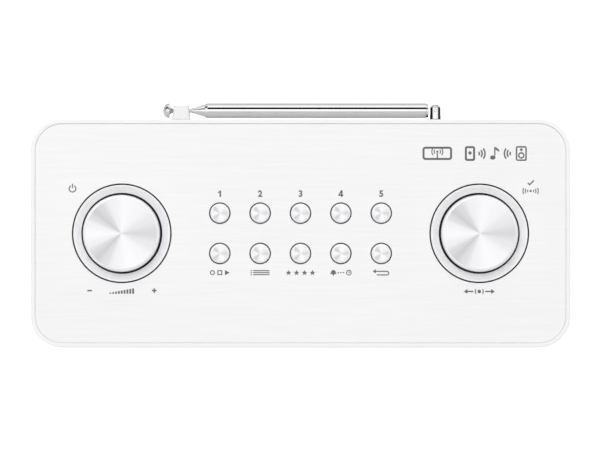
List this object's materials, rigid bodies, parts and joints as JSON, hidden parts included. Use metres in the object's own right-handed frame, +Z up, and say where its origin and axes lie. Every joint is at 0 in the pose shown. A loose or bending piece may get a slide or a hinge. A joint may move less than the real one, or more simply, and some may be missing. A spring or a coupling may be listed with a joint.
{
  "type": "tabletop radio",
  "caption": "Tabletop radio with a brushed top control panel, push-turn knobs, round push buttons, front display and a telescopic antenna stowed along its back.",
  "frame": {"origin": "on the table, under the middle of the radio's box with the antenna stowed", "axes": "+X to the right of someone in front of the radio, the front faces -Y, +Z up"},
  "size_m": [0.284, 0.129, 0.1153],
  "materials": {
    "white_plastic": "white moulded plastic, satin",
    "brushed_panel": "silver-white film with fine brushed lines along X",
    "knob_metal": "spun face with radial highlights",
    "button_metal": "plated caps with a spun face",
    "dish_plastic": "light grey satin dish",
    "dark_plastic": "dark grey moulded plastic",
    "grille_plastic": "pale slotted grille, satin",
    "window_acrylic": "polished dark display window",
    "chrome": "polished",
    "steel": "plain",
    "rubber": "matt",
    "circuit_board": "green solder mask",
    "cone_paper": "coated paper cone with a rubber surround",
    "cable": "insulated wire"
  },
  "bodies": {
    "cabinet": {"cabinet_shell": "white_plastic", "base_plate": "white_plastic", "top_panel": "brushed_panel", "control_frame": "dark_plastic", "volume_bezel": "dish_plastic", "navigate_bezel": "dish_plastic", "front_grille": "grille_plastic", "front_baffle": "dark_plastic", "display_window": "window_acrylic", "display_module": "dark_plastic", "speaker_left_basket": "steel", "speaker_left_magnet": "steel", "speaker_right_basket": "steel", "speaker_right_magnet": "steel", "control_board": "circuit_board", "volume_encoder": "steel", "navigate_encoder": "steel", "main_board": "circuit_board", "tuner_module": "steel", "dc_inlet": "dark_plastic", "aux_jack": "dark_plastic", "headphone_jack": "dark_plastic", "ribbon_cable": "cable", "antenna_lead": "cable", "antenna_socket": "dark_plastic", "antenna_clip": "white_plastic", "foot_front_left": "rubber", "foot_front_right": "rubber", "foot_rear_left": "rubber", "foot_rear_right": "rubber", "base_screw_front_left": "steel", "base_screw_front_right": "steel", "base_screw_rear_left": "steel", "base_screw_rear_right": "steel"},
    "preset_button_1": {"preset_button_1": "button_metal"},
    "preset_button_2": {"preset_button_2": "button_metal"},
    "preset_button_3": {"preset_button_3": "button_metal"},
    "preset_button_4": {"preset_button_4": "button_metal"},
    "preset_button_5": {"preset_button_5": "button_metal"},
    "mode_button": {"mode_button": "button_metal"},
    "menu_button": {"menu_button": "button_metal"},
    "favourite_button": {"favourite_button": "button_metal"},
    "alarm_button": {"alarm_button": "button_metal"},
    "back_button": {"back_button": "button_metal"},
    "volume_plunger": {"volume_plunger": "dark_plastic"},
    "volume_knob": {"volume_knob": "knob_metal", "volume_shaft": "steel"},
    "navigate_plunger": {"navigate_plunger": "dark_plastic"},
    "navigate_knob": {"navigate_knob": "knob_metal", "navigate_shaft": "steel"},
    "speaker_left_cone": {"speaker_left_cone": "cone_paper"},
    "speaker_right_cone": {"speaker_right_cone": "cone_paper"},
    "antenna_post": {"antenna_post": "chrome", "antenna_pin": "chrome", "antenna_retaining_ring": "steel"},
    "antenna_tube": {"antenna_tube": "chrome"},
    "antenna_section_2": {"antenna_section_2": "chrome"},
    "antenna_section_3": {"antenna_section_3": "chrome"},
    "antenna_section_4": {"antenna_section_4": "chrome"},
    "antenna_rod": {"antenna_rod": "chrome"}
  },
  "joints": [
    {"name": "preset_button_1_press", "type": "slide", "parent": "cabinet", "child": "preset_button_1", "axis": [0, 0, -1], "range_m": [0, 0.0006], "stiffness_N_per_m": 500, "springref_m": -0.0008},
    {"name": "preset_button_2_press", "type": "slide", "parent": "cabinet", "child": "preset_button_2", "axis": [0, 0, -1], "range_m": [0, 0.0006], "stiffness_N_per_m": 500, "springref_m": -0.0008},
    {"name": "preset_button_3_press", "type": "slide", "parent": "cabinet", "child": "preset_button_3", "axis": [0, 0, -1], "range_m": [0, 0.0006], "stiffness_N_per_m": 500, "springref_m": -0.0008},
    {"name": "preset_button_4_press", "type": "slide", "parent": "cabinet", "child": "preset_button_4", "axis": [0, 0, -1], "range_m": [0, 0.0006], "stiffness_N_per_m": 500, "springref_m": -0.0008},
    {"name": "preset_button_5_press", "type": "slide", "parent": "cabinet", "child": "preset_button_5", "axis": [0, 0, -1], "range_m": [0, 0.0006], "stiffness_N_per_m": 500, "springref_m": -0.0008},
    {"name": "mode_button_press", "type": "slide", "parent": "cabinet", "child": "mode_button", "axis": [0, 0, -1], "range_m": [0, 0.0006], "stiffness_N_per_m": 500, "springref_m": -0.0008},
    {"name": "menu_button_press", "type": "slide", "parent": "cabinet", "child": "menu_button", "axis": [0, 0, -1], "range_m": [0, 0.0006], "stiffness_N_per_m": 500, "springref_m": -0.0008},
    {"name": "favourite_button_press", "type": "slide", "parent": "cabinet", "child": "favourite_button", "axis": [0, 0, -1], "range_m": [0, 0.0006], "stiffness_N_per_m": 500, "springref_m": -0.0008},
    {"name": "alarm_button_press", "type": "slide", "parent": "cabinet", "child": "alarm_button", "axis": [0, 0, -1], "range_m": [0, 0.0006], "stiffness_N_per_m": 500, "springref_m": -0.0008},
    {"name": "back_button_press", "type": "slide", "parent": "cabinet", "child": "back_button", "axis": [0, 0, -1], "range_m": [0, 0.0006], "stiffness_N_per_m": 500, "springref_m": -0.0008},
    {"name": "volume_press", "type": "slide", "parent": "cabinet", "child": "volume_plunger", "axis": [0, 0, -1], "range_m": [0, 0.0008], "stiffness_N_per_m": 1500, "springref_m": -0.001},
    {"name": "volume_turn", "type": "hinge", "parent": "volume_plunger", "child": "volume_knob", "pos_m": [-0.0941, -0.00445, 0.11], "axis": [0, 0, 1], "continuous": true},
    {"name": "navigate_press", "type": "slide", "parent": "cabinet", "child": "navigate_plunger", "axis": [0, 0, -1], "range_m": [0, 0.0008], "stiffness_N_per_m": 1500, "springref_m": -0.001},
    {"name": "navigate_turn", "type": "hinge", "parent": "navigate_plunger", "child": "navigate_knob", "pos_m": [0.0941, -0.00445, 0.11], "axis": [0, 0, 1], "continuous": true},
    {"name": "speaker_left_travel", "type": "slide", "parent": "cabinet", "child": "speaker_left_cone", "axis": [0, -1, 0], "range_m": [-0.0015, 0.0015], "stiffness_N_per_m": 1500},
    {"name": "speaker_right_travel", "type": "slide", "parent": "cabinet", "child": "speaker_right_cone", "axis": [0, -1, 0], "range_m": [-0.0015, 0.0015], "stiffness_N_per_m": 1500},
    {"name": "antenna_swivel", "type": "hinge", "parent": "cabinet", "child": "antenna_post", "pos_m": [0.0714, 0.0605, 0.093], "axis": [0, 1, 0], "range_deg": [0, 180]},
    {"name": "antenna_tilt", "type": "hinge", "parent": "antenna_post", "child": "antenna_tube", "pos_m": [0.0714, 0.0605, 0.093], "axis": [0, 0, -1], "range_deg": [0, 90]},
    {"name": "antenna_section_2_slide", "type": "slide", "parent": "antenna_tube", "child": "antenna_section_2", "axis": [-1, 0, 0], "range_m": [0, 0.1]},
    {"name": "antenna_section_3_slide", "type": "slide", "parent": "antenna_section_2", "child": "antenna_section_3", "axis": [-1, 0, 0], "range_m": [0, 0.1]},
    {"name": "antenna_section_4_slide", "type": "slide", "parent": "antenna_section_3", "child": "antenna_section_4", "axis": [-1, 0, 0], "range_m": [0, 0.1]},
    {"name": "antenna_rod_slide", "type": "slide", "parent": "antenna_section_4", "child": "antenna_rod", "axis": [-1, 0, 0], "range_m": [0, 0.1]}
  ]
}
